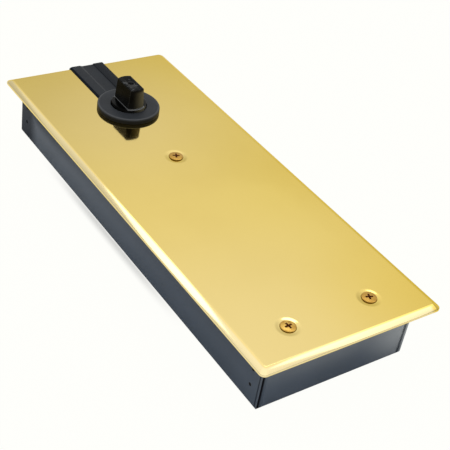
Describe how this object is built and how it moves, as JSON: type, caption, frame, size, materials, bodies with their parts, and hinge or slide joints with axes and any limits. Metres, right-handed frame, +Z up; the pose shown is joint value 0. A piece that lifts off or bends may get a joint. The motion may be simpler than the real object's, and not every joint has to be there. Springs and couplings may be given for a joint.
{
  "type": "floor spring",
  "caption": "Hydraulic door closer for the floor: a cement box under a bevelled brass cover plate, with a tapered flat sided spindle turned by a cam, roller and spring",
  "frame": {"origin": "on the spindle's axis at the underside of the cement box", "axes": "+X along the box from the spindle towards its long end, +Y across it, +Z up out of the floor"},
  "size_m": [0.33, 0.132, 0.0653],
  "materials": {
    "brass_plate": "polished",
    "brass_screw": "polished",
    "box_paint": "satin",
    "black_part": "satin",
    "spindle_steel": "gloss",
    "cast_body": "rough",
    "zinc_steel": "satin",
    "bright_steel": "polished",
    "seal_rubber": "matte"
  },
  "bodies": {
    "housing": {"cement_box": "box_paint", "fixing_studs": "zinc_steel", "closer_body": "cast_body", "fixing_washers": "zinc_steel", "fixing_nuts": "zinc_steel", "thrust_washer_lower": "bright_steel", "thrust_balls": "bright_steel", "main_spring": "zinc_steel", "spring_seat": "zinc_steel", "end_plug": "zinc_steel", "plug_seal": "seal_rubber", "lid_gasket": "seal_rubber", "chamber_lid": "cast_body", "lid_screws": "zinc_steel", "upper_race": "bright_steel", "upper_rollers": "bright_steel", "spindle_seal": "seal_rubber", "cover_plate": "brass_plate", "slot_filler": "black_part", "spindle_ring": "black_part", "cover_screws": "brass_screw"},
    "spindle": {"spindle": "spindle_steel", "cam_key": "zinc_steel", "cam": "bright_steel", "thrust_washer_upper": "bright_steel"},
    "piston": {"piston": "zinc_steel", "piston_ring": "seal_rubber", "check_ball": "bright_steel", "check_valve": "zinc_steel", "roller_pin": "bright_steel"},
    "cam_roller": {"cam_roller": "bright_steel"},
    "closing_valve": {"closing_valve": "zinc_steel"},
    "latching_valve": {"latching_valve": "zinc_steel"}
  },
  "joints": [
    {"name": "spindle_turn", "type": "hinge", "parent": "housing", "child": "spindle", "pos_m": [0, 0, 0.04], "axis": [0, 0, 1], "range_deg": [0, 130], "stiffness_Nm_per_rad": 3},
    {"name": "piston_slide", "type": "slide", "parent": "housing", "child": "piston", "axis": [1, 0, 0], "range_m": [0, 0.018], "deforming": ["main_spring"]},
    {"name": "roller_spin", "type": "hinge", "parent": "piston", "child": "cam_roller", "pos_m": [0.019, 0, 0.02128], "axis": [0, 0, 1], "continuous": true},
    {"name": "closing_valve_turn", "type": "hinge", "parent": "housing", "child": "closing_valve", "pos_m": [0.058, 0.024, 0.03728], "axis": [0, 0, 1], "range_deg": [-180, 180]},
    {"name": "latching_valve_turn", "type": "hinge", "parent": "housing", "child": "latching_valve", "pos_m": [0.084, 0.024, 0.03728], "axis": [0, 0, 1], "range_deg": [-180, 180]}
  ],
  "couplings": [
    {"joint": "spindle_turn", "follows": "piston_slide", "rad_per_m": 126.05}
  ]
}
